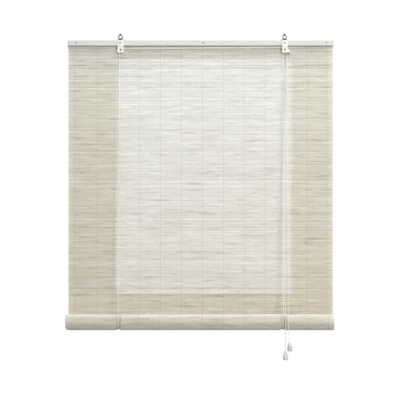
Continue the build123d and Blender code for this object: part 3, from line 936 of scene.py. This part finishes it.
# Radius at which a cord's centreline runs round each wheel
RUN = {"left_wheel": 0.0043, "right_rear_wheel": 0.0043, "right_front_wheel": 0.006}
for side in SIDES:
    x = loop_x[side]
    wheel = centre_of(wheels[side])
    loop = resampled([loop_point(x, t) for t in np.linspace(0.0, LOOP_END, 60)], STEP)
    piece = rope(f"{side}_loop", loop, CORD)
    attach(piece, "lift")
    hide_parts(f"{side}_roll_loop")
    top = (wheel.x - RUN[wheels[side]], wheel.y, wheel.z)
    strand = rope(f"{side}_front_cord", resampled([top, loop[-1]], STEP), CORD)
    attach(strand, "head")
    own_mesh(strand)
    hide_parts(f"{side}_front_strand")
    tied = centre_of(f"{side}_anchor_knot")
    anchor = (x, tied.y - ANCHOR_FORWARD, tied.z)
    strand = rope(f"{side}_rear_cord", resampled([anchor, loop[0]], STEP), CORD)
    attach(strand, "head")
    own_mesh(strand)
    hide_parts(f"{side}_rear_strand")
    piece = knot(f"{side}_cord_knot", tied, size=0.0024, thickness=0.0019, turn=0.3)
    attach(piece, "head")
    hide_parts(f"{side}_anchor_knot")


def over(wheel, radius, start, end, count=16):
    """Points round a wheel from one angle to another, seen from the front."""
    return [
        (wheel.x + radius * math.cos(t), wheel.y, wheel.z + radius * math.sin(t))
        for t in np.linspace(start, end, count)
    ]


left_wheel = centre_of("left_wheel")
front_wheel = centre_of("right_front_wheel")
rear_wheel = centre_of("right_rear_wheel")
small, large = RUN["left_wheel"], RUN["right_front_wheel"]
across = front_wheel - left_wheel
tilt = math.atan2(across.z, across.x) + math.asin((large - small) / across.length)
line = over(left_wheel, small, math.pi, math.pi / 2 + tilt)
line += over(front_wheel, large, math.pi / 2 + tilt, 0)
piece = rope("left_top_cord", resampled(line, STEP), CORD)
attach(piece, "head")
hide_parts("left_cord_top")
piece = rope("right_top_cord", resampled(over(rear_wheel, small, math.pi, 0, 24), STEP), CORD)
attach(piece, "head")
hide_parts("right_cord_top")

# Free tails: the wheel each comes from and the radius it runs at, where it turns to hang down,
# the heights of its joining knot and its tassel's top, in metres, and its tassel's lean in degrees
TAILS = {
    "left": (front_wheel, large, (0.2862, -0.0620, -0.950), -0.9920, -1.0273, 5.0),
    "right": (rear_wheel, small, (0.2774, -0.0566, -0.950), -1.0256, -1.0572, 0.0),
}

# A tassel's height and the depth of the recess in its foot, the joining knot's size, and the
# distances between rings of the short cords
TASSEL_HEIGHT, RECESS, KNOT = 0.030, 0.006, 0.0025
TAIL_END_STEP, TASSEL_STEP = 0.0005, 0.0008

# A long straight tail's route has a point this many diameters from each end
END_RUN = 6
for side, (wheel, radius, bend, knot_z, tassel_z, lean) in TAILS.items():
    start = Vector((wheel.x + radius, wheel.y, wheel.z))
    bend = Vector(bend)
    run = (bend - start).normalized() * END_RUN * CORD
    line = spline_line([start, start + run, bend - run, bend], STEP)
    piece = rope(f"{side}_tail", line, CORD)
    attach(piece, "head")
    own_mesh(piece)
    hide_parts(f"{side}_tail_upper")
    body = f"{side}_tassel"
    tie = Vector((bend.x, bend.y, knot_z))
    end = tie + Vector((0, 0, KNOT))
    line = spline_line([bend, (bend + end) / 2, end], TAIL_END_STEP)
    lower = rope(f"{side}_tail_end", line, CORD)
    tied = knot(f"{side}_joining_knot", tie, size=KNOT, thickness=0.0019, turn=0.8)
    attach(tied, body)
    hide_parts(f"{side}_tail_knot")
    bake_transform(lower)
    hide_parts(f"{side}_tail_lower")
    down = Vector((math.sin(math.radians(lean)), 0, -math.cos(math.radians(lean))))
    begin = tie + down * KNOT
    stop = tie + down * (tie.z - tassel_z + TASSEL_HEIGHT - RECESS)
    line = spline_line([begin, (begin + stop) / 2, stop], TASSEL_STEP)
    inner = rope(f"{side}_tassel_string", line, TASSEL_CORD)
    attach(inner, body)
    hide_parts(f"{side}_tassel_cord")
    place = centre_of(f"{side}_tassel_knot")
    last = knot(f"{side}_end_knot", place, size=0.0022, thickness=0.0016, turn=1.4)
    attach(last, body)
    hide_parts(f"{side}_tassel_knot")


# Floor, lights and camera

FLOOR_SIDE, FLOOR_FRONT, FLOOR_BACK, FLOOR_Z = 6, -7, 5.5, -2.7
corners = [
    (-FLOOR_SIDE, FLOOR_FRONT, FLOOR_Z), (FLOOR_SIDE, FLOOR_FRONT, FLOOR_Z),
    (FLOOR_SIDE, FLOOR_BACK, FLOOR_Z), (-FLOOR_SIDE, FLOOR_BACK, FLOOR_Z),
]
floor_mesh = bpy.data.meshes.new("floor")
floor_mesh.from_pydata(corners, [], [(0, 1, 2, 3)])
floor_mesh.materials.append(floor_material())
floor = bpy.data.objects.new("floor", floor_mesh)
bpy.context.collection.objects.link(floor)
floor.visible_diffuse = False


def area_light(
    name, place, target, size, power, colour=(1.0, 1.0, 1.0), size_y=None, spread_angle=math.pi
):
    """A square light, or a rectangle if size_y is given, that the camera doesn't see."""
    data = bpy.data.lights.new(name, "AREA")
    data.energy = power
    data.color = colour
    data.size = size
    if size_y:
        data.shape = "RECTANGLE"
        data.size_y = size_y
    data.spread = spread_angle
    light = bpy.data.objects.new(name, data)
    light.location = place
    light.rotation_euler = (Vector(target) - Vector(place)).to_track_quat("-Z", "Y").to_euler()
    light.visible_camera = False
    bpy.context.collection.objects.link(light)


area_light(
    "key", place=(2.1, -4.5, 1.2), target=(0, 0, -0.5), size=0.7, power=134,
    colour=(1.0, 0.995, 0.985),
)
area_light("top", place=(0.2, -0.9, 2.6), target=(0, 0, -0.9), size=3.0, power=62, size_y=1.0)
area_light("back", place=(-1.2, 4.2, 0.8), target=(0, 0, -0.5), size=2.5, power=70)
area_light(
    "low", place=(0.4, -2.2, -2.0), target=(0.05, 0, 0.05), size=0.6, power=0.4, size_y=0.6,
    spread_angle=math.radians(36),
)

# Daylight that the slats let through, as if a window stood close behind the mat
WINDOW_LEFT, WINDOW_RIGHT, WINDOW_FOOT, WINDOW_TOP = -0.294, 0.303, -0.871, -0.074
window_x = (WINDOW_LEFT + WINDOW_RIGHT) / 2
window_z = (WINDOW_FOOT + WINDOW_TOP) / 2
area_light(
    "window", place=(window_x, 0, window_z), target=(window_x, -1, window_z),
    size=WINDOW_RIGHT - WINDOW_LEFT, size_y=WINDOW_TOP - WINDOW_FOOT, power=1.12,
    colour=(0.66, 0.80, 1.0), spread_angle=math.radians(24),
)

# A soft sky, a little brighter overhead; the camera sees plain white in its place
SKY = 0.42
SKY_TOP = 0.08
world = bpy.data.worlds.new("studio")
bpy.context.scene.world = world
world.use_nodes = True
tree = world.node_tree
tree.nodes.clear()
direction = add(tree, "ShaderNodeTexCoord").outputs["Generated"]
parts = add(tree, "ShaderNodeSeparateXYZ", {0: direction})
sky = spread(tree, parts.outputs["Z"], -0.2, 1.0, SKY, SKY + SKY_TOP)
studio = add(tree, "ShaderNodeBackground", {"Color": (0.99, 0.995, 1.0, 1), "Strength": sky})
white = add(tree, "ShaderNodeBackground", {"Color": (1, 1, 1, 1), "Strength": 1.0})
seen = add(tree, "ShaderNodeLightPath").outputs["Is Camera Ray"]
both = add(
    tree,
    "ShaderNodeMixShader",
    {0: seen, 1: studio.outputs["Background"], 2: white.outputs["Background"]},
)
add(tree, "ShaderNodeOutputWorld", {"Surface": both.outputs["Shader"]})

# The camera looks square on at the middle of the blind
camera_data = bpy.data.cameras.new("camera")
camera_data.lens = 84.8
camera_data.sensor_width = 36
camera = bpy.data.objects.new("camera", camera_data)
camera.location = (-0.0082, -3.2, -0.5535)
camera.rotation_euler = (math.pi / 2, 0, 0)
bpy.context.collection.objects.link(camera)
bpy.context.scene.camera = camera
bpy.context.scene.view_settings.view_transform = "Standard"
bpy.context.scene.view_settings.look = "None"
